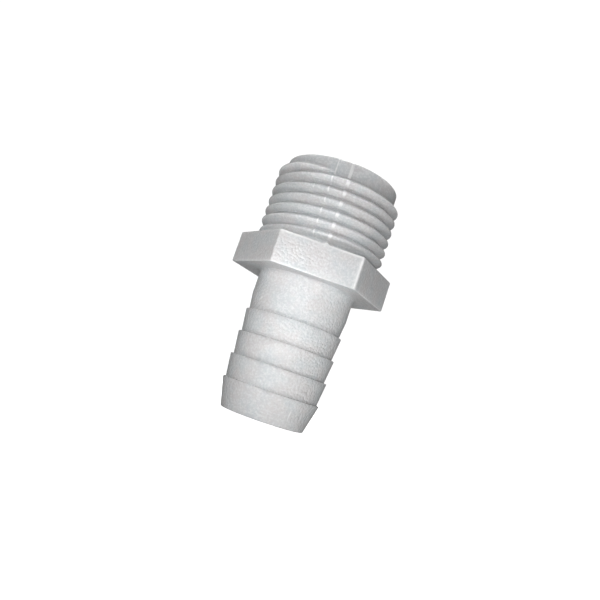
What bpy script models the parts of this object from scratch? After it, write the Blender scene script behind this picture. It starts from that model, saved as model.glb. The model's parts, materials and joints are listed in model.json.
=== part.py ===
"""Straight hose-tail adapter in moulded nylon: male thread, hex collar, neck and barbed tail.

The fitting is one moulding. It stands on the end of its hose tail: the tube's axis is Z, the tail's
end face lies at z = 0, and one flat of the collar faces -Y. All sizes are in metres.
"""

import math

import bmesh
import bpy
from mathutils import Matrix

# ---------------------------------------------------------------- driving dimensions: hose tail
TAIL_BORE = 0.0150          # bore through the hose tail, diameter
TIP_WALL = 0.00120          # wall of the tube at the very end of the tail
BARB_ROOT_WALL = 0.00220    # wall of the tube between the barbs
BARB_HEIGHT = 0.00058       # how far a barb's edge stands out from the tube
BARB_COUNT = 4              # barbs, counting the one with the lead-in cone
BARB_PITCH = 0.00475        # from one barb edge to the next
LEAD_IN_LENGTH = 0.00595    # cone from the end face up to the first barb edge
NECK_WALL = 0.00264         # wall of the plain neck
NECK_TAPER_LENGTH = 0.00360  # last taper, from the top barb's root out to the neck
NECK_LENGTH = 0.00850       # top barb edge to the collar's underside
NECK_FILLET = 0.00060       # radius where the neck meets the collar

# ---------------------------------------------------------------- driving dimensions: collar
COLLAR_HEIGHT = 0.00645     # thickness of the hex along the tube
COLLAR_SHOULDER = 0.00079   # how far each flat lies outside the thread's crest
COLLAR_EDGE_BREAK = 0.00020  # softening of the collar's edges

# ---------------------------------------------------------------- driving dimensions: threaded end
THREAD_MAJOR = 0.02699      # outside diameter over the thread's crests
THREAD_PITCH = 0.002209     # 11.5 turns to the inch
THREAD_DEPTH_RATIO = 0.686  # thread depth as a share of the pitch
THREAD_CREST_RATIO = 0.125  # crest flat as a share of the pitch
THREAD_FLANK_ANGLE = math.radians(30)  # each flank, from a plane across the tube
THREAD_TURNS = 6.90         # turns of the crest above the collar
THREAD_EXIT_ANGLE = math.radians(-64)  # where the crest line leaves the collar's face
RUN_IN_TURNS = 0.95         # the ridge grows to full height over these turns
RUN_IN_SHARE = 0.45         # its height at the collar's face, as a share of the full height
RUN_OUT_TURNS = 0.10        # the ridge shrinks over these turns at its upper end
RUN_OUT_SHARE = 0.45        # its height where it stops
LIP_LENGTH = 0.00231        # smooth lip, from the end of the crest line to the end face
THREAD_END_WALL = 0.00245   # wall of the tube under the thread's root
BORE_STEP_LENGTH = 0.00300  # cone that joins the two bores inside the collar
LIP_EDGE_BREAK = 0.00030    # chamfer round the outside of the smooth lip

# ---------------------------------------------------------------- construction
SEGMENTS = 64               # facets round a turned surface
THREAD_STEPS = 48           # sections in one turn of the thread
THREAD_BURY_RATIO = 0.05    # depth of the ridge's foot inside the tube, of the pitch
THREAD_START_DEPTH = 0.35   # depth inside the collar where the ridge starts, of its height
OVERCUT = 0.0020            # length that a cutter runs past the end faces

# ---------------------------------------------------------------- sizes that follow
TIP_RADIUS = TAIL_BORE / 2 + TIP_WALL
BARB_ROOT_RADIUS = TAIL_BORE / 2 + BARB_ROOT_WALL
BARB_EDGE_RADIUS = BARB_ROOT_RADIUS + BARB_HEIGHT
NECK_RADIUS = TAIL_BORE / 2 + NECK_WALL
THREAD_CREST_RADIUS = THREAD_MAJOR / 2
THREAD_ROOT_RADIUS = THREAD_CREST_RADIUS - THREAD_DEPTH_RATIO * THREAD_PITCH
THREAD_FOOT_RADIUS = THREAD_ROOT_RADIUS - THREAD_BURY_RATIO * THREAD_PITCH
THREAD_END_BORE_RADIUS = THREAD_ROOT_RADIUS - THREAD_END_WALL
COLLAR_FLAT_RADIUS = THREAD_CREST_RADIUS + COLLAR_SHOULDER
COLLAR_CORNER_RADIUS = COLLAR_FLAT_RADIUS / math.cos(math.pi / 6)

TOP_BARB_Z = LEAD_IN_LENGTH + (BARB_COUNT - 1) * BARB_PITCH
COLLAR_BOTTOM_Z = TOP_BARB_Z + NECK_LENGTH
COLLAR_TOP_Z = COLLAR_BOTTOM_Z + COLLAR_HEIGHT
THREADED_END_LENGTH = THREAD_TURNS * THREAD_PITCH + LIP_LENGTH
TOTAL_LENGTH = COLLAR_TOP_Z + THREADED_END_LENGTH
COLLAR_MIDDLE_Z = (COLLAR_BOTTOM_Z + COLLAR_TOP_Z) / 2


def clear_scene():
    """Remove every object that the file opened with."""
    for old in list(bpy.data.objects):
        bpy.data.objects.remove(old, do_unlink=True)


def nylon_material():
    """Natural nylon: milky white, a little translucent, with a satin gloss."""
    material = bpy.data.materials.new("natural_nylon")
    material.use_nodes = True
    shader = material.node_tree.nodes["Principled BSDF"]
    shader.inputs["Base Color"].default_value = (0.66, 0.68, 0.68, 1.0)
    shader.inputs["Roughness"].default_value = 0.38
    shader.inputs["Metallic"].default_value = 0.0
    shader.inputs["Subsurface Weight"].default_value = 0.2
    return material


def link_mesh(name, bm):
    """Turn a bmesh into an object of the scene, smooth on its round faces."""
    mesh = bpy.data.meshes.new(name)
    bmesh.ops.recalc_face_normals(bm, faces=bm.faces[:])
    if bm.calc_volume(signed=True) < 0:
        bmesh.ops.reverse_faces(bm, faces=bm.faces[:])
    bm.to_mesh(mesh)
    bm.free()
    mesh.shade_smooth()
    mesh.set_sharp_from_angle(angle=math.radians(25))
    item = bpy.data.objects.new(name, mesh)
    bpy.context.scene.collection.objects.link(item)
    return item


def arc(centre_radius, centre_z, radius, start, end, steps):
    """Points (r, z) on a circular arc in the half-plane, from angle start to angle end."""
    return [(centre_radius + radius * math.cos(start + (end - start) * i / steps),
             centre_z + radius * math.sin(start + (end - start) * i / steps))
            for i in range(steps + 1)]


def turned_solid(name, profile):
    """Spin a half-profile of (r, z) points, which starts and ends on the axis, about Z."""
    bm = bmesh.new()
    line = [bm.verts.new((radius, 0.0, height)) for radius, height in profile]
    edges = [bm.edges.new(pair) for pair in zip(line, line[1:])]
    bmesh.ops.spin(bm, geom=line + edges, cent=(0, 0, 0), axis=(0, 0, 1),
                   angle=2 * math.pi, steps=SEGMENTS, use_merge=True, use_duplicate=False)
    bmesh.ops.remove_doubles(bm, verts=bm.verts[:], dist=1e-7)
    return link_mesh(name, bm)


def outer_profile():
    """Outline of the tube without collar and thread ridge, from the tail's end to the lip."""
    points = [(0.0, 0.0), (TIP_RADIUS, 0.0)]
    for barb in range(BARB_COUNT):
        edge_z = LEAD_IN_LENGTH + barb * BARB_PITCH
        points += [(BARB_EDGE_RADIUS, edge_z), (BARB_ROOT_RADIUS, edge_z)]
    points.append((NECK_RADIUS, TOP_BARB_Z + NECK_TAPER_LENGTH))
    points += arc(NECK_RADIUS + NECK_FILLET, COLLAR_BOTTOM_Z - NECK_FILLET, NECK_FILLET,
                  math.pi, math.pi / 2, 3)
    points += [(NECK_RADIUS + NECK_FILLET, COLLAR_MIDDLE_Z),
               (THREAD_ROOT_RADIUS, COLLAR_MIDDLE_Z),
               (THREAD_ROOT_RADIUS, TOTAL_LENGTH - LIP_EDGE_BREAK),
               (THREAD_ROOT_RADIUS - LIP_EDGE_BREAK, TOTAL_LENGTH),
               (0.0, TOTAL_LENGTH)]
    return points


def bore_profile():
    """Outline of the through bore: tail bore, a cone inside the collar, threaded end's bore."""
    half_step = BORE_STEP_LENGTH / 2
    return [(0.0, -OVERCUT),
            (TAIL_BORE / 2, -OVERCUT),
            (TAIL_BORE / 2, COLLAR_MIDDLE_Z - half_step),
            (THREAD_END_BORE_RADIUS, COLLAR_MIDDLE_Z + half_step),
            (THREAD_END_BORE_RADIUS, TOTAL_LENGTH + OVERCUT),
            (0.0, TOTAL_LENGTH + OVERCUT)]


def hex_collar():
    """Six-sided prism with broken edges, a flat facing -Y."""
    bm = bmesh.new()
    bmesh.ops.create_cone(bm, cap_ends=True, segments=6, depth=COLLAR_HEIGHT,
                          radius1=COLLAR_CORNER_RADIUS, radius2=COLLAR_CORNER_RADIUS,
                          matrix=Matrix.Translation((0, 0, COLLAR_MIDDLE_Z))
                          @ Matrix.Rotation(math.pi / 2, 4, "Z"))
    bmesh.ops.bevel(bm, geom=bm.edges[:], offset=COLLAR_EDGE_BREAK, offset_type="OFFSET",
                    segments=1, profile=0.5, affect="EDGES")
    return link_mesh("collar_blank", bm)


def ridge_share(turns):
    """Height of the thread ridge, as a share of the full height, at turns above the collar."""
    grown = RUN_IN_SHARE + (1 - RUN_IN_SHARE) * turns / RUN_IN_TURNS
    left = RUN_OUT_SHARE + (1 - RUN_OUT_SHARE) * (THREAD_TURNS - turns) / RUN_OUT_TURNS
    return min(1.0, left, max(RUN_IN_SHARE, grown))


def thread_section(turns):
    """Cross-section (r, z) of the ridge: two flanks and a crest flat, on its lower edge."""
    full_height = THREAD_CREST_RADIUS - THREAD_FOOT_RADIUS
    height = ridge_share(turns) * full_height
    crest_flat = THREAD_CREST_RATIO * THREAD_PITCH
    half_foot = crest_flat / 2 + full_height * math.tan(THREAD_FLANK_ANGLE)
    lower = COLLAR_TOP_Z + turns * THREAD_PITCH - half_foot
    rise = height * math.tan(THREAD_FLANK_ANGLE)
    crest_radius = THREAD_FOOT_RADIUS + height
    return [(THREAD_FOOT_RADIUS, lower + 2 * rise + crest_flat), (THREAD_FOOT_RADIUS, lower),
            (crest_radius, lower + rise), (crest_radius, lower + rise + crest_flat)]


def thread_ridge():
    """Right-hand helical ridge, from inside the collar to where the thread stops."""
    start = -THREAD_START_DEPTH * COLLAR_HEIGHT / THREAD_PITCH
    steps = round((THREAD_TURNS - start) * THREAD_STEPS)
    bm = bmesh.new()
    rings = []
    for step in range(steps + 1):
        turns = start + (THREAD_TURNS - start) * step / steps
        angle = THREAD_EXIT_ANGLE + 2 * math.pi * turns
        rings.append([bm.verts.new((radius * math.cos(angle), radius * math.sin(angle), z))
                      for radius, z in thread_section(turns)])
    for ring, following in zip(rings, rings[1:]):
        for i in range(len(ring)):
            j = (i + 1) % len(ring)
            bm.faces.new((ring[i], ring[j], following[j], following[i]))
    bm.faces.new(rings[0])
    bm.faces.new(rings[-1])
    bmesh.ops.triangulate(bm, faces=bm.faces[:])
    return link_mesh("thread_blank", bm)


def combine(body, tool, operation):
    """Join a helper solid to the body, or cut it away, and keep the helper out of the part."""
    tool.display_type = "WIRE"
    tool.hide_render = True
    boolean = body.modifiers.new(tool.name, "BOOLEAN")
    boolean.object = tool
    boolean.operation = operation
    boolean.solver = "EXACT"


def build_fitting():
    """Make the whole moulding as one solid."""
    body = turned_solid("fitting_body", outer_profile())
    combine(body, hex_collar(), "UNION")
    combine(body, turned_solid("bore_cutter", bore_profile()), "DIFFERENCE")
    combine(body, thread_ridge(), "UNION")
    body.data.materials.append(nylon_material())
    return body


clear_scene()
build_fitting()
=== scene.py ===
# %% [markdown]
# # A moulded nylon hose fitting
# The real object is one injection moulding in natural nylon: a barbed tail for a hose, a plain neck,
# a hex collar for a wrench, a male thread and a short smooth lip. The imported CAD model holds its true
# sizes as a coarse faceted solid. This lesson lays one fine, closed skin over that solid, with the
# rounded edges, mould marks, grain and milky depth that the eye expects of moulded nylon.
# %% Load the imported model
import json
import math

import bmesh
import bpy
import numpy as np
from mathutils import Matrix, Vector


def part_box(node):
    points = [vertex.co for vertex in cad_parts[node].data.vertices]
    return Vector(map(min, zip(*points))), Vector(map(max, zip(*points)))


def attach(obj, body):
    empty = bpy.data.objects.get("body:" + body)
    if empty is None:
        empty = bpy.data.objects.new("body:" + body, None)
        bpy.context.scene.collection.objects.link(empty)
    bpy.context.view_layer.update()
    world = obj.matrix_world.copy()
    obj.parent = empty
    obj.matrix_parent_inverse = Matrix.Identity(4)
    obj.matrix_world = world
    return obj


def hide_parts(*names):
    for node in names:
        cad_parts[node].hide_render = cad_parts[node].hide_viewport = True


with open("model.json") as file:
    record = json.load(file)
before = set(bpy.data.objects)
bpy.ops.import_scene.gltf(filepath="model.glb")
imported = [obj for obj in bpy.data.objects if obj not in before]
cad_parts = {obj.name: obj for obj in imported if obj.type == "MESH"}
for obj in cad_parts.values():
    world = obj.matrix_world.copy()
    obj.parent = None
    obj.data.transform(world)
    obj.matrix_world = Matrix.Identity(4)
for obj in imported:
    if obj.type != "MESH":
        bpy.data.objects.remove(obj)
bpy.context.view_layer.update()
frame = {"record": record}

MM = 0.001

# %% [markdown]
# The heights of the collar and of the end face could be typed in again, but then a change to the CAD
# model would leave the skin behind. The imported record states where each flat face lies, and the
# part's box where it ends, so the skin takes its main heights and the collar's reach from there.
# %% Heights that the CAD model decides
faces = {mount["name"]: mount["pos_m"] for mount in frame["record"]["mounts"]}
END_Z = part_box("fitting_body")[1].z
COLLAR_BOTTOM = faces["collar_lower_face"][2]
COLLAR_TOP = 2 * faces["wrench_flat_front"][2] - COLLAR_BOTTOM
COLLAR_REACH = -faces["wrench_flat_front"][1]
print(f"collar {COLLAR_BOTTOM / MM:.2f} to {COLLAR_TOP / MM:.2f} mm, end face {END_Z / MM:.2f} mm")

# %% [markdown]
# The tail: a lead-in cone helps the hose on, four barbs grip it, and a last taper runs out into the
# neck. The neck is thicker than the barbs' roots, so the hose is tight before it meets the collar.
# %% Sizes of the tail
TAIL_BORE = 7.50 * MM           # radius
TIP_REACH = 8.70 * MM
BARB_ROOT = 9.70 * MM
BARB_REACH = 10.28 * MM
NECK_REACH = 10.14 * MM
FIRST_BARB = 5.95 * MM
BARB_PITCH = 4.75 * MM
BARB_COUNT = 4
NECK_TAPER = 3.60 * MM          # from the top barb's ledge to where the neck is full
barb_heights = FIRST_BARB + BARB_PITCH * np.arange(BARB_COUNT)
print("barb edges at, mm:", np.round(barb_heights / MM, 2))

# %% [markdown]
# No edge of a moulding is truly sharp: the steel that shapes it is rounded by its cutter, and the
# plastic shrinks back from corners. A Bevel modifier could round them afterwards, but the outline is
# known here, so each corner gets its own arc before anything is turned.
# %% Round the corners of an outline
def rounded(corners, radii, steps=4):
    """Outline (r, z) through the corners, with an arc of its own radius at each inner corner.

    With the half angle h between a corner's two sides, the arc touches them at radius / tan(h) and
    has its centre on their bisector, at radius / sin(h). Its points turn evenly from one touching
    point to the other: each is (sin((1 - k) w) * first + sin(k w) * last) / sin(w), where w is the
    whole turn and k runs from 0 to 1.
    """
    corners, radii = np.array(corners, float), np.array(radii, float)[:, None]
    inner = corners[1:-1]
    back = corners[:-2] - inner
    ahead = corners[2:] - inner
    back /= np.linalg.norm(back, axis=1, keepdims=True)
    ahead /= np.linalg.norm(ahead, axis=1, keepdims=True)
    half = np.arccos(np.sum(back * ahead, axis=1, keepdims=True)) / 2
    middle = back + ahead
    centre = inner + middle / np.linalg.norm(middle, axis=1, keepdims=True) * radii / np.sin(half)
    first = inner + back * radii / np.tan(half) - centre
    last = inner + ahead * radii / np.tan(half) - centre
    turn = math.pi - 2 * half
    share = np.linspace(0, 1, steps + 1)[None, :, None]
    swept = (np.sin((1 - share) * turn[:, None]) * first[:, None]
             + np.sin(share * turn[:, None]) * last[:, None]) / np.sin(turn[:, None])
    arcs = (centre[:, None] + swept).reshape(-1, 2)
    return np.vstack([corners[:1], arcs, corners[-1:]])


example = rounded([(0, 0), (1, 0), (1, 1)], [0.2])
print("a square corner rounded by 0.2 turns from", example[1].round(3), "to", example[-2].round(3))

# %% [markdown]
# A long straight stretch needs only two points to be straight, but marks such as a nub or a bead of
# flash need some points to move. So each outline also gets stations at an even spacing.
# %% Put stations along an outline
def with_stations(outline, spacing):
    """The outline with more points on its straight stretches, about one in every spacing.

    A station is a distance along the outline, and its point is read by linear interpolation.
    Stations nearer than a third of the spacing to a point that is there already are left out.
    """
    steps = np.linalg.norm(np.diff(outline, axis=0), axis=1)
    along = np.concatenate([[0.0], np.cumsum(steps)])
    extra = np.arange(spacing, along[-1], spacing)
    nearest = np.abs(extra[:, None] - along[None, :]).min(axis=1)
    along_all = np.union1d(along, extra[nearest > spacing / 3])
    return np.column_stack([np.interp(along_all, along, outline[:, i]) for i in (0, 1)])


stations = with_stations(np.array([(0.0, 0.0), (1.0, 0.0)]), 0.3)
print("a line of length 1 with stations every 0.3:", stations[:, 0].round(2))

# %% [markdown]
# The skin is one closed tube wall, so its outline is a loop: up the outside, over the end face and
# down the bore. The first stretch runs from the rim of the tail's bore up to the collar's top face.
# %% Outline from the tail's rim to the collar's top
TIP_ROUNDING = 0.22 * MM
BARB_EDGE_ROUNDING = 0.07 * MM
BARB_ROOT_ROUNDING = 0.14 * MM
NECK_FILLET = 0.60 * MM
COLLAR_EDGE_ROUNDING = 0.20 * MM
STATION_SPACING = 1.1 * MM
COLLAR_SPACING = 0.4 * MM
TIP_SEAM = TAIL_BORE + 0.5 * MM     # where the loop starts and ends, on the tail's flat end
TOP_LANDING = 13.75 * MM            # where this stretch stops, just outside the thread's crest

barbs = [corner for z in barb_heights for corner in ((BARB_REACH, z), (BARB_ROOT, z))]
tail_corners = [(TIP_SEAM, 0.0), (TIP_REACH, 0.0), *barbs,
                (NECK_REACH, barb_heights[-1] + NECK_TAPER), (NECK_REACH, COLLAR_BOTTOM),
                (COLLAR_REACH, COLLAR_BOTTOM), (COLLAR_REACH, COLLAR_TOP), (TOP_LANDING, COLLAR_TOP)]
tail_radii = [TIP_ROUNDING, *([BARB_EDGE_ROUNDING, BARB_ROOT_ROUNDING] * BARB_COUNT),
              NECK_TAPER / 2, NECK_FILLET, COLLAR_EDGE_ROUNDING, COLLAR_EDGE_ROUNDING]
tail_outline = rounded(tail_corners, tail_radii)
below = tail_outline[:, 1] < COLLAR_BOTTOM - 2 * COLLAR_EDGE_ROUNDING
tail_outline = np.vstack([with_stations(tail_outline[below], STATION_SPACING),
                          with_stations(tail_outline[~below], COLLAR_SPACING)])
print("tail and collar outline:", len(tail_outline), "points")

# %% [markdown]
# The second stretch of the outline takes over above the thread: the smooth lip that guides a coupling
# on, the end face, and the bore all the way down. The bore steps from wide to narrow by a cone inside
# the collar, where the wall is thick enough to take it.
# %% Outline from the lip down the bore
THREAD_END_BORE = 9.53 * MM     # radius
LIP_REACH = 11.98 * MM          # also the thread's root
LIP_EDGE_ROUNDING = 0.26 * MM
BORE_EDGE_ROUNDING = 0.30 * MM
BORE_CONE_HALF = 1.50 * MM
BORE_ROUNDING = 1.20 * MM
BORE_SPACING = 4 * STATION_SPACING
collar_middle = (COLLAR_BOTTOM + COLLAR_TOP) / 2
LIP_START = END_Z - 0.95 * MM   # the thread's rows stop here

bore_corners = [(LIP_REACH, LIP_START), (LIP_REACH, END_Z), (THREAD_END_BORE, END_Z),
                (THREAD_END_BORE, collar_middle + BORE_CONE_HALF),
                (TAIL_BORE, collar_middle - BORE_CONE_HALF), (TAIL_BORE, 0.0),
                (TIP_SEAM, 0.0)]
bore_radii = [LIP_EDGE_ROUNDING, BORE_EDGE_ROUNDING, BORE_ROUNDING, BORE_ROUNDING,
              BORE_EDGE_ROUNDING]
bore_outline = with_stations(rounded(bore_corners, bore_radii), BORE_SPACING)[:-1]
print("lip and bore outline:", len(bore_outline), "points")

# %% [markdown]
# The thread is a ridge wound round the tube, right-handed, 11.5 turns to the inch. On the real mould
# it is cut by a tool whose tip is rounded, and its first turn rises out of the collar while its last
# one stops short at the mould's parting band. A Screw modifier could wind one section, but the
# height of this ridge changes along its way, so the thread is a function instead: the radius at any
# angle and height.
# %% Sizes of the thread
THREAD_CREST = 13.495 * MM
THREAD_PITCH = 2.209 * MM
THREAD_TURNS = 6.90
THREAD_EXIT = math.radians(-64)   # angle at which the crest line leaves the collar
FLANK_SLOPE = math.tan(math.radians(30))
CREST_FLAT = 0.125 * THREAD_PITCH
CREST_ROUNDING = 0.46 * MM
ROOT_ROUNDING = 0.30 * MM
RUN_IN_TURNS, RUN_IN_SHARE = 0.95, 0.45
RUN_OUT_TURNS, RUN_OUT_SHARE = 0.11, 0.16
thread_depth = THREAD_CREST - LIP_REACH
half_foot = CREST_FLAT / 2 + thread_depth * FLANK_SLOPE


def soft_min(a, b, width):
    """The smaller of a and b, with the corner between them rounded.

    Where they differ by less than width, (width - |a - b|) squared / (4 * width) is taken off.
    """
    return np.minimum(a, b) - np.clip(width - np.abs(a - b), 0, None) ** 2 / (4 * width)


def ridge_share(turns):
    """Height of the ridge as a share of its full height, at so many turns above the collar.

    It grows in a straight line over the run-in, shrinks in one over the run-out, and is nothing
    past the last turn.
    """
    grown = RUN_IN_SHARE + (1 - RUN_IN_SHARE) * np.clip(turns / RUN_IN_TURNS, 0, 1)
    left = RUN_OUT_SHARE + (1 - RUN_OUT_SHARE) * (THREAD_TURNS - turns) / RUN_OUT_TURNS
    return np.minimum(grown, np.minimum(left, 1.0)) * (turns <= THREAD_TURNS)


print("ridge", round(thread_depth / MM, 2), "mm high on a foot", round(2 * half_foot / MM, 2), "mm wide,",
      "starting at", ridge_share(np.array([0.0])).round(2)[0], "of its height")

# %% [markdown]
# A thread mould opens sideways. Along its parting band the crests are shaved flat, so that the halves
# let go, and at each edge of the band a hair of plastic is squeezed into the joint. It leaves a raised
# witness line that runs over every crest and on up the smooth lip.
# %% The parting bands and their witness lines
BAND_EDGES = np.radians([-100.3, -86.3])
BAND_CUT = 0.09 * MM
LINE_HALF_WIDTHS = (0.22 * MM, 0.46 * MM)
LINE_HEIGHTS = (0.06 * MM, 0.11 * MM)


def turned(angle, centre):
    """Angle from centre, brought between half a turn back and half a turn on."""
    return (angle - centre + math.pi) % (2 * math.pi) - math.pi


def witness_lines(angle):
    """Height of the lines at each angle, with the same pair again on the far side.

    Each line is a cosine wave's crest, (1 + cos(pi * x / half width)) / 2, across the tube.
    """
    height = np.zeros_like(angle)
    for side in (0, math.pi):
        for edge, half_width, top in zip(BAND_EDGES, LINE_HALF_WIDTHS, LINE_HEIGHTS):
            across = np.clip(turned(angle, edge + side) * LIP_REACH / half_width, -1, 1)
            height += top * (1 + np.cos(math.pi * across)) / 2
    return height


def in_band(angle):
    """1 between the edges of a parting band, 0 outside, on the near and the far side."""
    middle, half = BAND_EDGES.mean(), (BAND_EDGES[1] - BAND_EDGES[0]) / 2
    near = np.abs(turned(angle, middle)) < half
    return (near | (np.abs(turned(angle, middle + math.pi)) < half)).astype(float)


print("band", round((BAND_EDGES[1] - BAND_EDGES[0]) * THREAD_CREST / MM, 2), "mm wide, lines",
      (witness_lines(BAND_EDGES) / MM).round(2), "mm high")

# %% [markdown]
# With those pieces the thread is one formula. At any point, the nearest flight is found by rounding;
# the distance to its crest line gives two flanks and a crest, and the lowest of the three counts.
# %% Radius of the threaded end
def thread_radius(angle, z):
    """Radius at an angle and a height on the threaded end.

    The crest line climbs one pitch a turn. The flight nearest to z stands on its lower flank:
    height = soft_min(lower flank, upper flank, share * full height - the band's cut), and the root
    is rounded with the same rule upside down. The witness lines are added on top.
    """
    part_turn = (angle - THREAD_EXIT) / (2 * math.pi)
    flight = np.round((z - COLLAR_TOP) / THREAD_PITCH - part_turn)
    turns = flight + part_turn
    offset = z - COLLAR_TOP - turns * THREAD_PITCH
    full = ridge_share(turns) * thread_depth
    crest = full - BAND_CUT * in_band(angle)
    lower = (offset + half_foot) / FLANK_SLOPE
    upper = (CREST_FLAT - half_foot - offset) / FLANK_SLOPE + 2 * full
    ridge = soft_min(soft_min(lower, upper, CREST_ROUNDING), crest, CREST_ROUNDING)
    ridge = -soft_min(-ridge, 0.0 * ridge, ROOT_ROUNDING)
    ridge = np.where(turns > THREAD_TURNS, 0.0, ridge)
    return LIP_REACH + ridge + witness_lines(angle)


two_turns_up = COLLAR_TOP + np.array([2.0, 2.5]) * THREAD_PITCH     # on a crest and in a root
crest_and_root = thread_radius(np.full(2, THREAD_EXIT), two_turns_up)
print("crest and root, mm across:", (2 * crest_and_root / MM).round(2))

# %% [markdown]
# Columns run round the tube and rows run along it. Even columns would step across a narrow mark, so
# the collar's six corners and the parting bands get columns of their own, and the even ones keep
# clear of those. All angles are counted from where the thread leaves the collar, and the last
# column repeats the first, one turn on.
# %% Columns round the tube
CORNER_ROUNDING = 0.45 * MM
CORNER_COLUMNS = 7
EVEN_COLUMNS = 276
BAND_COLUMN_STEP = math.radians(0.34)
BAND_MARGINS = np.radians([1.7, 3.0])   # how far the fine columns go on past the band's edges
KEPT_CLEAR = 0.45                       # least gap beside an even column, as a share of their step

corner_centre = (COLLAR_REACH - CORNER_ROUNDING) / math.cos(math.pi / 6)
corner_touch = math.pi / 6 - math.atan((1 - CORNER_ROUNDING / COLLAR_REACH) * math.tan(math.pi / 6))
corners = np.arange(6)[:, None] * math.pi / 3 + corner_touch * np.linspace(-1, 1, CORNER_COLUMNS)
band = np.arange(BAND_EDGES[0] - BAND_MARGINS[0], BAND_EDGES[1] + BAND_MARGINS[1], BAND_COLUMN_STEP)
special = np.concatenate([corners.ravel(), band, band + math.pi])
special = np.unique(np.round((special - THREAD_EXIT) % (2 * math.pi), 7))
even = np.linspace(0, 2 * math.pi, EVEN_COLUMNS + 1)
clear = np.abs(even[:, None] - special[None, :]).min(axis=1) > KEPT_CLEAR * even[1]
clear[[0, -1]] = True
angles = THREAD_EXIT + np.union1d(even[clear], special)
print(len(angles), "columns, the narrowest step", round(math.degrees(np.diff(angles).min()), 3), "degrees")

# %% [markdown]
# The collar is a hexagon only at its rim: where it meets the round neck and the round thread, its
# faces are flat across, so the rows there may change from a circle to a hexagon without any mark.
# %% The collar's six sides
HEX_FADE = (10.9 * MM, 13.2 * MM)   # from round to six-sided between these radii


def hex_stretch(angle):
    """Reach of the rounded hexagon at each angle, as a share of its reach at the middle of a side.

    On a side it is 1 / cos(angle from the side's middle). At a corner it is the far side of the
    corner's circle: d * cos(a) + sqrt(r * r - (d * sin(a)) squared), with a the angle from the
    corner, d the distance of the circle's centre and r its radius.
    """
    from_corner = np.abs((angle + math.pi / 6) % (math.pi / 3) - math.pi / 6)
    distance, radius = corner_centre / COLLAR_REACH, CORNER_ROUNDING / COLLAR_REACH
    under_root = np.clip(radius ** 2 - (distance * np.sin(from_corner)) ** 2, 0, None)
    corner = distance * np.cos(from_corner) + np.sqrt(under_root)
    return np.where(from_corner < corner_touch, corner, 1 / np.cos(math.pi / 6 - from_corner))


print("collar, mm: flats", round(2 * COLLAR_REACH / MM, 2), "corners",
      (2 * COLLAR_REACH / MM * hex_stretch(np.array([0.0]))).round(2)[0])

# %% [markdown]
# Every row is a ring, so the rings stack into two arrays, one of radii and one of heights. Where the
# outline is plain, a ring's radius is one number. On the thread the rows climb with the crest line, a
# pitch a turn, so that each flight's crest is followed by a row of its own instead of being crossed
# by many. Rows that would climb past either end of the zone are held at its end.
# %% Rows along the tube
ROW_PLACES = (0.0, 0.05, 0.11, 0.18, 0.29, 0.40, 0.45)   # in pitches, from a crest line
ROOT_PLACE = 0.5
ROWS_PAST_TOP = 0.2             # in pitches: rows above the zone that are all held at its end

angle = angles[None, :]
tail_r, tail_z = tail_outline.T[:, :, None]
six_sided = np.clip((tail_r - HEX_FADE[0]) / (HEX_FADE[1] - HEX_FADE[0]), 0, 1)
tail_radii_grid = tail_r * (1 + six_sided * (hex_stretch(angle) - 1))

one_pitch = np.unique(np.concatenate([ROW_PLACES, -np.array(ROW_PLACES), [ROOT_PLACE]]))
turns_up = (LIP_START - COLLAR_TOP) / THREAD_PITCH
climb = (np.arange(-1, math.ceil(turns_up) + 1)[:, None] + one_pitch).ravel()
climb = climb[climb < turns_up + ROWS_PAST_TOP][:, None]
thread_z = COLLAR_TOP + THREAD_PITCH * (climb + (angle - THREAD_EXIT) / (2 * math.pi))
thread_z = np.clip(thread_z, COLLAR_TOP, LIP_START)

bore_r, bore_z = bore_outline.T[:, :, None]
on_lip = np.clip((bore_r - LIP_REACH) / LIP_EDGE_ROUNDING + 1, 0, 1) * (bore_z > COLLAR_TOP)
bore_radii_grid = bore_r + on_lip * witness_lines(angle)

radii = np.vstack([tail_radii_grid, thread_radius(angle, thread_z), bore_radii_grid])
heights = np.vstack([np.broadcast_to(z, (len(z), len(angles))) for z in (tail_z, thread_z, bore_z)])
row_marks = np.concatenate([tail_z[:, 0], COLLAR_TOP + THREAD_PITCH * climb[:, 0], bore_z[:, 0]])
print(len(radii), "rows:", len(tail_z), "to the collar's top,", len(climb), "on the thread")

# %% [markdown]
# Where the witness line of the parting band meets the collar's upper edge, the squeezed-out plastic
# was not trimmed and stands as a small nub. Points near it are pushed out and up, most at its middle.
# %% The nub on the collar's edge
NUB_ANGLE = math.radians(-87.0)
NUB_SPREAD = 0.42 * MM
NUB_HEIGHT = 0.42 * MM
NUB_RISE = 0.9                  # how far up it points for each step out

points = np.stack([radii * np.cos(angle), radii * np.sin(angle), heights], axis=-1)
nub = np.array([COLLAR_REACH * math.cos(NUB_ANGLE), COLLAR_REACH * math.sin(NUB_ANGLE), COLLAR_TOP])
nearness = np.exp(-np.sum((points - nub) ** 2, axis=-1) / NUB_SPREAD ** 2)
outward = np.array([math.cos(NUB_ANGLE), math.sin(NUB_ANGLE), NUB_RISE]) / math.hypot(1, NUB_RISE)
points += NUB_HEIGHT * nearness[..., None] * outward
print("nub reaches z =", round(points[..., 2][nearness > 0.5].max() / MM, 2), "mm")

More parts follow.
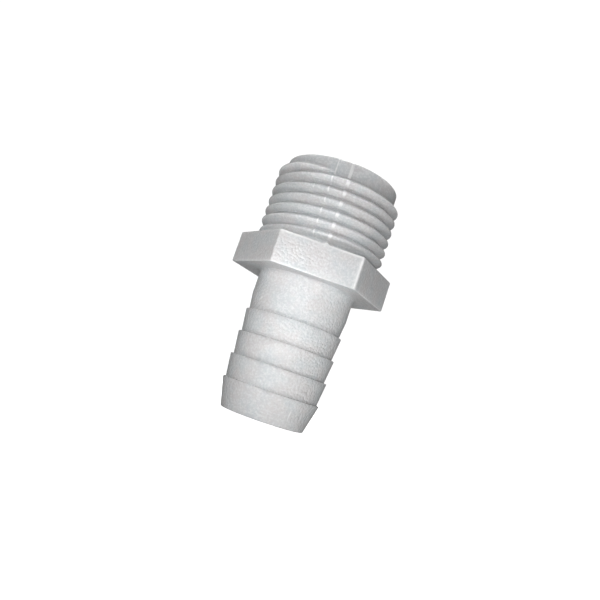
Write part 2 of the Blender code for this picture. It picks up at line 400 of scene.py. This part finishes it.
# %% [markdown]
# Edges that the steel closed on come out smoother than the grained faces, and they are rubbed first
# when fittings rattle in a box. The finish needs to know where they are, so each point carries a
# number from 0 to 1 for how burnished it is, worked out beside its position. That number whitens the
# colour, partly for real rubbing and partly as painted highlight: on the collar's top edges, on the
# witness lines where they cross the crests, and on the nub. The collar's two faces on the parting
# bands are burnished most, and one upright edge of each also has a bead of flash, whose whitening is
# also a painted highlight line.
# %% How burnished each point is, and where highlight is painted
RIM_REACH = 0.30 * MM           # how far from an edge the burnish fades out
BEAD_HEIGHT = 0.06 * MM
EDGE_STRENGTH = 1.6             # over 1, so that the burnish is full over the middle of an edge
CORNER_STEP = math.pi / 3
BEAD_ANGLES = (-CORNER_STEP, 2 * CORNER_STEP)
CREST_FROM, CREST_SPAN = 0.40, 0.30     # the burnish grows over this span of the ridge's height
LINE_ALONE = 0.5                # turns before the thread's end from which the lines stand alone
OTHER_FACES = 0.3               # burnish of the four faces that are off the parting band
FACE_SLACK = 1.02               # takes in the rounded corners at both ends of a face

on_thread = (heights > COLLAR_TOP) & (radii > LIP_REACH - LIP_EDGE_ROUNDING)
line_share = np.clip(witness_lines(angle) / min(LINE_HEIGHTS), 0, 1)
crest_share = np.clip((radii - LIP_REACH) / thread_depth, 0, 1)
on_crest = np.clip((crest_share - CREST_FROM) / CREST_SPAN, 0, 1)
above_thread = heights > COLLAR_TOP + THREAD_PITCH * (THREAD_TURNS - LINE_ALONE)
# On the crests this whitening is a painted glint; on the lip it is the whitened plastic of the lines.
line_wear_and_glint = line_share * on_thread * np.maximum(on_crest, above_thread)

# Along the collar's top edges the whitening is partly rubbing and partly painted highlight, most on the
# band faces.
from_side = np.abs(COLLAR_REACH * hex_stretch(angle) - radii)
on_band_face = np.abs(turned(2 * angle, math.pi)) < FACE_SLACK * CORNER_STEP
face_share = OTHER_FACES + (1 - OTHER_FACES) * on_band_face
top_rim = np.exp(-(from_side ** 2 + (heights - COLLAR_TOP) ** 2) / RIM_REACH ** 2) * face_share

from_bead = np.minimum(*[np.abs(turned(angle, corner)) for corner in BEAD_ANGLES]) * COLLAR_REACH
on_collar = (heights > COLLAR_BOTTOM - RIM_REACH) & (heights < COLLAR_TOP + RIM_REACH)
bead = np.exp(-(from_bead ** 2 + from_side ** 2) / RIM_REACH ** 2) * on_collar
points[..., 0] += BEAD_HEIGHT * bead * np.cos(angle)
points[..., 1] += BEAD_HEIGHT * bead * np.sin(angle)

# Edges, bead and nub are whitened as painted highlights as well as for wear.
edges = np.clip(EDGE_STRENGTH * np.maximum(top_rim, bead), 0, 1)
burnish = np.maximum.reduce([line_wear_and_glint, edges, nearness])
print("points more than half burnished:", int((burnish > 0.5).sum()), "of", burnish.size)

# %% [markdown]
# The grid becomes a mesh. foreach_set hands whole arrays to Blender. The last column lies exactly on
# the first, and held rows lie on each other, so close points are merged and the faces that collapse
# go with them. What is left must be closed: every edge has two faces.
# %% Weld the grid into one closed skin
MERGE_DISTANCE = 0.001 * MM
SHARP_ANGLE = math.radians(38)


def closed_skin(name, points, marks, burnish):
    """Mesh object of a grid that joins itself at its last row and its last column."""
    rows, columns = points.shape[:2]
    index = np.arange(rows * columns).reshape(rows, columns)
    above = np.roll(index, -1, axis=0)
    quads = np.stack([index[:, :-1], index[:, 1:], above[:, 1:], above[:, :-1]], axis=-1)
    mesh = bpy.data.meshes.new(name)
    mesh.vertices.add(rows * columns)
    mesh.vertices.foreach_set("co", points.astype(np.float32).ravel())
    mesh.loops.add(quads.size)
    mesh.loops.foreach_set("vertex_index", quads.ravel().astype(np.int32))
    mesh.polygons.add(quads.size // 4)
    mesh.polygons.foreach_set("loop_start", np.arange(0, quads.size, 4, dtype=np.int32))
    mesh.update(calc_edges=True)
    around = np.broadcast_to(angles * LIP_REACH, (rows, columns))
    along = np.broadcast_to(marks[:, None], (rows, columns))
    uv = np.stack([around, along], axis=-1).reshape(-1, 2)[quads.ravel()]
    mesh.uv_layers.new(name="round_and_along").data.foreach_set("uv", uv.astype(np.float32).ravel())
    layer = mesh.attributes.new("burnish", "FLOAT", "POINT")
    layer.data.foreach_set("value", burnish.astype(np.float32).ravel())
    bm = bmesh.new()
    bm.from_mesh(mesh)
    bmesh.ops.remove_doubles(bm, verts=bm.verts[:], dist=MERGE_DISTANCE)
    bmesh.ops.dissolve_degenerate(bm, dist=MERGE_DISTANCE / 10, edges=bm.edges[:])
    open_edges = sum(not edge.is_manifold for edge in bm.edges)
    print(name, "has", len(bm.faces), "faces,", open_edges, "open edges,",
          round(bm.calc_volume(signed=True) / MM ** 3), "cubic mm")
    bm.to_mesh(mesh)
    bm.free()
    mesh.shade_smooth()
    mesh.set_sharp_from_angle(angle=SHARP_ANGLE)
    skin = bpy.data.objects.new(name, mesh)
    bpy.context.scene.collection.objects.link(skin)
    return skin


fitting = closed_skin("moulded_fitting", points, row_marks, burnish)
print(sum(len(face.vertices) - 2 for face in fitting.data.polygons), "triangles")

# %% [markdown]
# A finish is a graph of shader nodes. The helpers below add one node and set or link its sockets in
# the same line, so that a finish reads from top to bottom like a recipe.
# %% A short way to place shader nodes
def add_node(tree, kind, inputs=None, **settings):
    """One node of that kind, with its settings, and its sockets set or linked by name."""
    item = tree.nodes.new("ShaderNode" + kind)
    for name, value in settings.items():
        setattr(item, name, value)
    for name, value in (inputs or {}).items():
        if isinstance(value, bpy.types.NodeSocket):
            tree.links.new(value, item.inputs[name])
        else:
            item.inputs[name].default_value = value
    return item


def ramp(tree, value, low, high, to_low=0.0, to_high=1.0):
    """Value between low and high, spread over to_low to to_high and held at both ends."""
    inputs = {"Value": value, "From Min": low, "From Max": high, "To Min": to_low, "To Max": to_high}
    return add_node(tree, "MapRange", inputs).outputs["Result"]


def noise(tree, vector, scale, detail):
    """Smooth random value near a half, with about so many bumps to a unit of the vector."""
    return add_node(tree, "TexNoise", {"Vector": vector, "Scale": scale, "Detail": detail}).outputs["Fac"]


def stronger(tree, a, b):
    """The larger of two values at each point."""
    return add_node(tree, "Math", {0: a, 1: b}, operation="MAXIMUM").outputs[0]


def times(tree, a, b):
    """The product of two values."""
    return add_node(tree, "Math", {0: a, 1: b}, operation="MULTIPLY").outputs[0]


def blended(tree, share, first, second):
    """Colour between two others. A Mix node's colour sockets have numbers: 6, 7 and output 2."""
    item = add_node(tree, "Mix", {"Factor": share}, data_type="RGBA")
    for number, colour in ((6, first), (7, second)):
        if isinstance(colour, bpy.types.NodeSocket):
            tree.links.new(colour, item.inputs[number])
        else:
            item.inputs[number].default_value = colour
    return item.outputs[2]


# %% [markdown]
# A scuff is a short bright scrape, and a few of them make a moulding look handled. They could be
# painted on an image, but a formula stays sharp at any distance. Object coordinates are moved to the
# scrape's middle and divided by its half lengths, so that it becomes a ball one unit across, and a
# spherical gradient fades it from its middle to its edge.
# %% Scuffs in given places
SCUFFS = (   # angle in degrees; reach, height and half lengths in millimetres; lean in degrees
    (-61.0, 9.5, 3.0, (0.22, 0.8, 1.5), 4.0),
    (-113.0, 13.4, 45.4, (0.20, 0.6, 0.9), 4.0),
    # this one is no scrape but a painted glint at the end of the last crest
    (-111.4, 12.7, 49.9, (0.8, 0.8, 0.28), -8.0),
    (-141.0, 10.1, 22.5, (0.22, 0.8, 0.9), 20.0),
    (35.0, 10.2, 26.0, (0.8, 0.20, 1.5), 10.0),
    (118.0, 10.1, 14.0, (0.22, 0.8, 1.4), -15.0))


def scuff(tree, place, angle, reach, z, half_sizes, lean):
    """Mask of one oval scrape: 1 in its middle, 0 outside."""
    turn = math.radians(angle)
    middle = (reach * MM * math.cos(turn), reach * MM * math.sin(turn), z * MM)
    inputs = {"Vector": place, "Location": middle, "Rotation": (0.0, math.radians(lean), 0.0),
              "Scale": tuple(half * MM for half in half_sizes)}
    centred = add_node(tree, "Mapping", inputs, vector_type="TEXTURE").outputs["Vector"]
    return add_node(tree, "TexGradient", {"Vector": centred}, gradient_type="SPHERICAL").outputs["Fac"]


print(len(SCUFFS), "scuffs")

# %% [markdown]
# Where the plastic is burnished or scraped it has turned white, as bent nylon does, and the same
# whitening also paints highlights on the collar's edges, on the crests at the parting band and on the
# nub. The mask that the skin carries and the scuffs are joined by taking the larger, and then broken
# up by noise, because wear is never even.
# %% Where the nylon is worn, and where highlights are painted
WEAR_PATCHES = 1300.0           # to the metre
WEAR_NOISE = (0.38, 0.52)       # the noise's values between which the wear grows
WEAR_LEFT = 0.70                # where the noise takes most away


def wear_and_glint_share(tree, place):
    """Share of wear and of painted highlight at each point: the larger of all masks, times a noise held
    over WEAR_LEFT.
    """
    wear_and_glint = add_node(tree, "Attribute", attribute_name="burnish").outputs["Fac"]
    for spot in SCUFFS:
        wear_and_glint = stronger(tree, wear_and_glint, scuff(tree, place, *spot))
    patches = noise(tree, place, WEAR_PATCHES, 2.0)
    return times(tree, wear_and_glint, ramp(tree, patches, *WEAR_NOISE, WEAR_LEFT, 1.0))


print("wear breaks up over", round(1 / WEAR_PATCHES / MM, 2), "mm")

# %% [markdown]
# Natural nylon has no pigment. What colour it has comes from how it cooled: faint cool and warm
# clouds some millimetres wide, and fine pale flecks where the surface froze first. Each layer is
# laid over the one before, and the wear comes last; its white also carries the painted highlights.
# %% Colour of the nylon
NYLON_COOL = (0.690, 0.712, 0.722, 1.0)
NYLON_WARM = (0.728, 0.714, 0.714, 1.0)
NYLON_FLECK = (0.84, 0.845, 0.85, 1.0)
# white of rubbed nylon, which also serves as painted highlight on edges, crests and the nub
NYLON_WORN_AND_GLINT = (0.99, 0.99, 0.99, 1.0)
CLOUDS, FLECKS = 260.0, 2500.0  # to the metre
CLOUD_NOISE = (0.40, 0.60)      # from cool to warm between these values of the noise
FLECK_NOISE = (0.45, 0.65)      # from no fleck to a full one
FLECK_SHARE = 0.7


def nylon_colour(tree, place, fleck, wear_and_glint):
    """Clouds from cool to warm, then flecks up to FLECK_SHARE of their own colour, then wear and painted
    highlights.
    """
    cloud = noise(tree, place, CLOUDS, 3.0)
    clouds = blended(tree, ramp(tree, cloud, *CLOUD_NOISE), NYLON_COOL, NYLON_WARM)
    flecked = blended(tree, ramp(tree, fleck, *FLECK_NOISE, 0.0, FLECK_SHARE), clouds, NYLON_FLECK)
    return blended(tree, wear_and_glint, flecked, NYLON_WORN_AND_GLINT)


print("clouds about", round(1 / CLOUDS / MM, 1), "mm wide, flecks about", round(1 / FLECKS / MM, 1), "mm")

# %% [markdown]
# The steel of the mould was spark-eroded, which leaves it covered in tiny round craters, and the
# plastic comes out covered in domes. A Voronoi texture gives the distance to the nearest of many
# scattered points, and one minus its square is a dome over each. The thread's steel was turned
# instead, so along its flights it has fine streaks, and less grain. Real bumps this small would take
# millions of faces, so both are left to Bump nodes.
# %% Grain and tool marks
PEBBLES = 2000.0                # to the metre
GRAIN_HEIGHT = 0.15 * MM
COLLAR_GRAIN = 0.45             # share of the tail's grain
THREAD_GRAIN = 0.36
WORN_GRAIN = 0.2                # what wear leaves
STREAKS_ROUND, STREAKS_ALONG = 160.0, 5200.0    # to the metre
TOOL_MARK_HEIGHT = 0.07 * MM
COLLAR_FADE = 0.5 * MM          # over which the grain weakens below the collar
THREAD_FADE = 0.2 * MM          # and above it, where the streaks set in


def nylon_relief(tree, place, wear_and_glint):
    """Normal of the surface: domes, 1 - distance squared, and on the thread streaks on top."""
    followed = add_node(tree, "UVMap", uv_map="round_and_along").outputs["UV"]
    height = add_node(tree, "SeparateXYZ", {"Vector": place}).outputs["Z"]
    to_collar = ramp(tree, height, COLLAR_BOTTOM - COLLAR_FADE, COLLAR_BOTTOM, 1.0, COLLAR_GRAIN)
    thread_share = THREAD_GRAIN / COLLAR_GRAIN
    to_thread = ramp(tree, height, COLLAR_TOP, COLLAR_TOP + THREAD_FADE, 1.0, thread_share)
    share = times(tree, times(tree, to_collar, to_thread), ramp(tree, wear_and_glint, 0.0, 1.0, 1.0, WORN_GRAIN))

    cells = add_node(tree, "TexVoronoi", {"Vector": place, "Scale": PEBBLES}).outputs["Distance"]
    dome = ramp(tree, times(tree, cells, cells), 0.0, 1.0, 1.0, 0.0)
    grain = add_node(tree, "Bump", {"Height": times(tree, dome, share), "Distance": GRAIN_HEIGHT})

    stretch = (STREAKS_ROUND, STREAKS_ALONG, 1.0)
    stretched = add_node(tree, "Mapping", {"Vector": followed, "Scale": stretch}).outputs["Vector"]
    streaks = times(tree, noise(tree, stretched, 1.0, 2.0),
                    ramp(tree, height, COLLAR_TOP, COLLAR_TOP + THREAD_FADE))
    marks = {"Height": streaks, "Distance": TOOL_MARK_HEIGHT, "Normal": grain.outputs["Normal"]}
    return add_node(tree, "Bump", marks).outputs["Normal"]


print("a crater every", round(1 / PEBBLES / MM, 2), "mm, a streak every",
      round(1 / STREAKS_ALONG / MM, 2), "mm")

# %% [markdown]
# Light goes a little way into nylon, scatters and comes out beside where it went in, so grooves look
# shallow and thin walls look bright. Subsurface scattering does that, over about two millimetres.
# Worn places, and those painted as highlights, scatter at the surface instead, so the painted lines
# stay crisp. The flecks are glossier than what is round them, which breaks a highlight into specks.
# %% Natural nylon
MATT, GLOSSY = 0.27, 0.13       # roughness between the flecks and on them
GLOSS_NOISE = (0.40, 0.60)
SCATTER_GONE = 0.6              # from this much wear on, no light goes in
SCATTER_DISTANCE = 2.0 * MM
NYLON_IOR = 1.53


def natural_nylon():
    """Milky plastic from its colour, its relief, its gloss and the light that goes into it."""
    material = bpy.data.materials.new("moulded_nylon")
    material.use_nodes = True
    tree = material.node_tree
    shader = tree.nodes["Principled BSDF"]
    place = add_node(tree, "TexCoord").outputs["Object"]
    wear_and_glint = wear_and_glint_share(tree, place)
    fleck = noise(tree, place, FLECKS, 1.0)
    tree.links.new(nylon_colour(tree, place, fleck, wear_and_glint), shader.inputs["Base Color"])
    tree.links.new(nylon_relief(tree, place, wear_and_glint), shader.inputs["Normal"])
    tree.links.new(ramp(tree, fleck, *GLOSS_NOISE, MATT, GLOSSY), shader.inputs["Roughness"])
    tree.links.new(ramp(tree, wear_and_glint, 0.0, SCATTER_GONE, 1.0, 0.0), shader.inputs["Subsurface Weight"])
    shader.inputs["IOR"].default_value = NYLON_IOR
    shader.inputs["Subsurface Radius"].default_value = (1.0, 1.0, 1.0)
    shader.inputs["Subsurface Scale"].default_value = SCATTER_DISTANCE
    print(material.name, "has", len(tree.nodes), "nodes")
    return material


# %% [markdown]
# The skin takes the finish, rides on the fitting's only body and stands for the coarse CAD solid,
# which stays behind it, hidden, for collision.
# %% Finish the fitting and tie it to the CAD model
fitting.data.materials.append(natural_nylon())
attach(fitting, "root")
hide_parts("fitting_body")
print(fitting.name, "stands for fitting_body on the body root")

# %% [markdown]
# The fitting is shown on plain white, so the floor is a large white sheet that gives off light of its
# own. It is hidden from every ray but the camera's, because a white sheet so close would throw light
# up under the collar and wipe out the shape of the thread.
# %% Floor
FLOOR_HALF = 3.0                # metres
FLOOR_WHITE = (0.92, 0.92, 0.92, 1.0)
FLOOR_ROUGHNESS = 0.9
FLOOR_GLOW = 1.0                # alone enough to make the camera see plain white


def white_floor():
    """Square sheet at height 0, with a matt white paint that glows."""
    mesh = bpy.data.meshes.new("floor")
    rim = FLOOR_HALF * np.array([(-1, -1, 0), (1, -1, 0), (1, 1, 0), (-1, 1, 0)])
    mesh.from_pydata(rim.tolist(), [], [(0, 1, 2, 3)])
    paint = bpy.data.materials.new("floor_paint")
    paint.use_nodes = True
    shader = paint.node_tree.nodes["Principled BSDF"]
    shader.inputs["Base Color"].default_value = FLOOR_WHITE
    shader.inputs["Roughness"].default_value = FLOOR_ROUGHNESS
    shader.inputs["Specular IOR Level"].default_value = 0.0
    shader.inputs["Emission Color"].default_value = (1.0, 1.0, 1.0, 1.0)
    shader.inputs["Emission Strength"].default_value = FLOOR_GLOW
    mesh.materials.append(paint)
    return bpy.data.objects.new("floor", mesh)


floor = white_floor()
bpy.context.scene.collection.objects.link(floor)
floor.visible_diffuse = False
floor.visible_glossy = False
floor.visible_transmission = False
floor.visible_shadow = False
print("floor", 2 * FLOOR_HALF, "m square")

# %% [markdown]
# Behind the floor the world is white too. If it lit the fitting as brightly as it looks, every edge
# would fade into it, so a Light Path node tells the camera's own rays from all others, and those
# find a weaker light. The Standard view transform keeps white paper white.
# %% World
WORLD_SEEN, WORLD_FILL = 1.05, 0.10

world = bpy.data.worlds.new("studio")
bpy.context.scene.world = world
world.use_nodes = True
sky = world.node_tree
seen = add_node(sky, "LightPath").outputs["Is Camera Ray"]
strength = ramp(sky, seen, 0.0, 1.0, WORLD_FILL, WORLD_SEEN)
sky.nodes["Background"].inputs["Color"].default_value = (1.0, 1.0, 1.0, 1.0)
sky.links.new(strength, sky.nodes["Background"].inputs["Strength"])
bpy.context.scene.view_settings.view_transform = "Standard"
print("world seen at", WORLD_SEEN, "and lighting at", WORLD_FILL)

# %% [markdown]
# The key light stands beside the camera, a little to the left, so the thread's grooves hold no hard
# shadows, and its narrow spread lets the ends fall off. A second light fills the lower flanks of the
# thread from below, through the floor, which casts no shadow. One above and one at the right glint
# along edges, one at the left fills that side, and two behind keep the rear pale. Those two are left
# out of reflections, which would bleach the outline.
# %% Lights
LIGHTS = (   # name, place and aim in mm, width in mm, watts, spread in degrees, seen in reflections
    ("key", (-15, -119, 13), (-3, 0, 25), 20, 0.0072, 54, True),
    ("thread_fill", (-10, -110, -75), (-3, 0, 47), 40, 0.0049, 54, True),
    ("top_glint", (-10, 5, 190), (0, 0, 35), 30, 0.15, 180, True),
    ("right_glint", (125, -90, -60), (8, 0, 17), 30, 0.0062, 54, True),
    ("left_fill", (-150, -90, 25), (0, 0, 26), 60, 0.034, 180, True),
    ("rear_right", (90, 235, 60), (0, 0, 26), 160, 0.30, 180, False),
    ("rear_left", (-90, 235, 60), (0, 0, 26), 160, 0.30, 180, False))


def soft_light(name, place, aim, width, watts, spread, reflected):
    """Square area light at a place, turned to face the point that it is aimed at."""
    data = bpy.data.lights.new(name, "AREA")
    data.size = width * MM
    data.energy = watts
    data.spread = math.radians(spread)
    lamp = bpy.data.objects.new(name, data)
    lamp.location = Vector(place) * MM
    lamp.rotation_euler = (Vector(aim) - Vector(place)).to_track_quat("-Z", "Y").to_euler()
    lamp.visible_camera = False
    lamp.visible_glossy = reflected
    bpy.context.scene.collection.objects.link(lamp)
    return lamp


for light in LIGHTS:
    soft_light(*light)
print(len(LIGHTS), "lights")

# %% [markdown]
# The camera stands close, low and in front, looks slightly up and is rolled, so the fitting leans to
# the right. Its pose is built from three unit vectors: it starts level, is tilted up by one angle,
# and then rolled about its own line of sight by another.
# %% Camera
CAMERA_DISTANCE = 123.1 * MM
CAMERA_HEIGHT = 8.8 * MM
SIDE_STEP = -0.40 * MM
LOOK_UP = math.radians(7.718)
ROLL = math.radians(18.9)
SWING = math.radians(-0.92)
LENS, SENSOR_WIDTH = 35.84, 36.0    # Blender takes these two in millimetres
NEAREST_SEEN = 0.005                # metres


def camera_pose():
    """Matrix whose columns are right, up and back, turned by ROLL, with the camera's place last."""
    side = Vector((math.cos(SWING), math.sin(SWING), 0))
    ahead = Vector((-math.sin(SWING), math.cos(SWING), 0))
    forward = ahead * math.cos(LOOK_UP) + Vector((0, 0, math.sin(LOOK_UP)))
    level_up = side.cross(forward)
    right = side * math.cos(ROLL) + level_up * math.sin(ROLL)
    up = level_up * math.cos(ROLL) - side * math.sin(ROLL)
    pose = Matrix((right, up, -forward)).transposed().to_4x4()
    pose.translation = side * SIDE_STEP - ahead * CAMERA_DISTANCE + Vector((0, 0, CAMERA_HEIGHT))
    return pose


lens = bpy.data.cameras.new("camera")
lens.lens, lens.sensor_width = LENS, SENSOR_WIDTH
lens.clip_start = NEAREST_SEEN
camera = bpy.data.objects.new("camera", lens)
camera.matrix_world = camera_pose()
bpy.context.scene.collection.objects.link(camera)
bpy.context.scene.camera = camera
print("camera at, mm:", [round(value / MM, 1) for value in camera.matrix_world.translation])
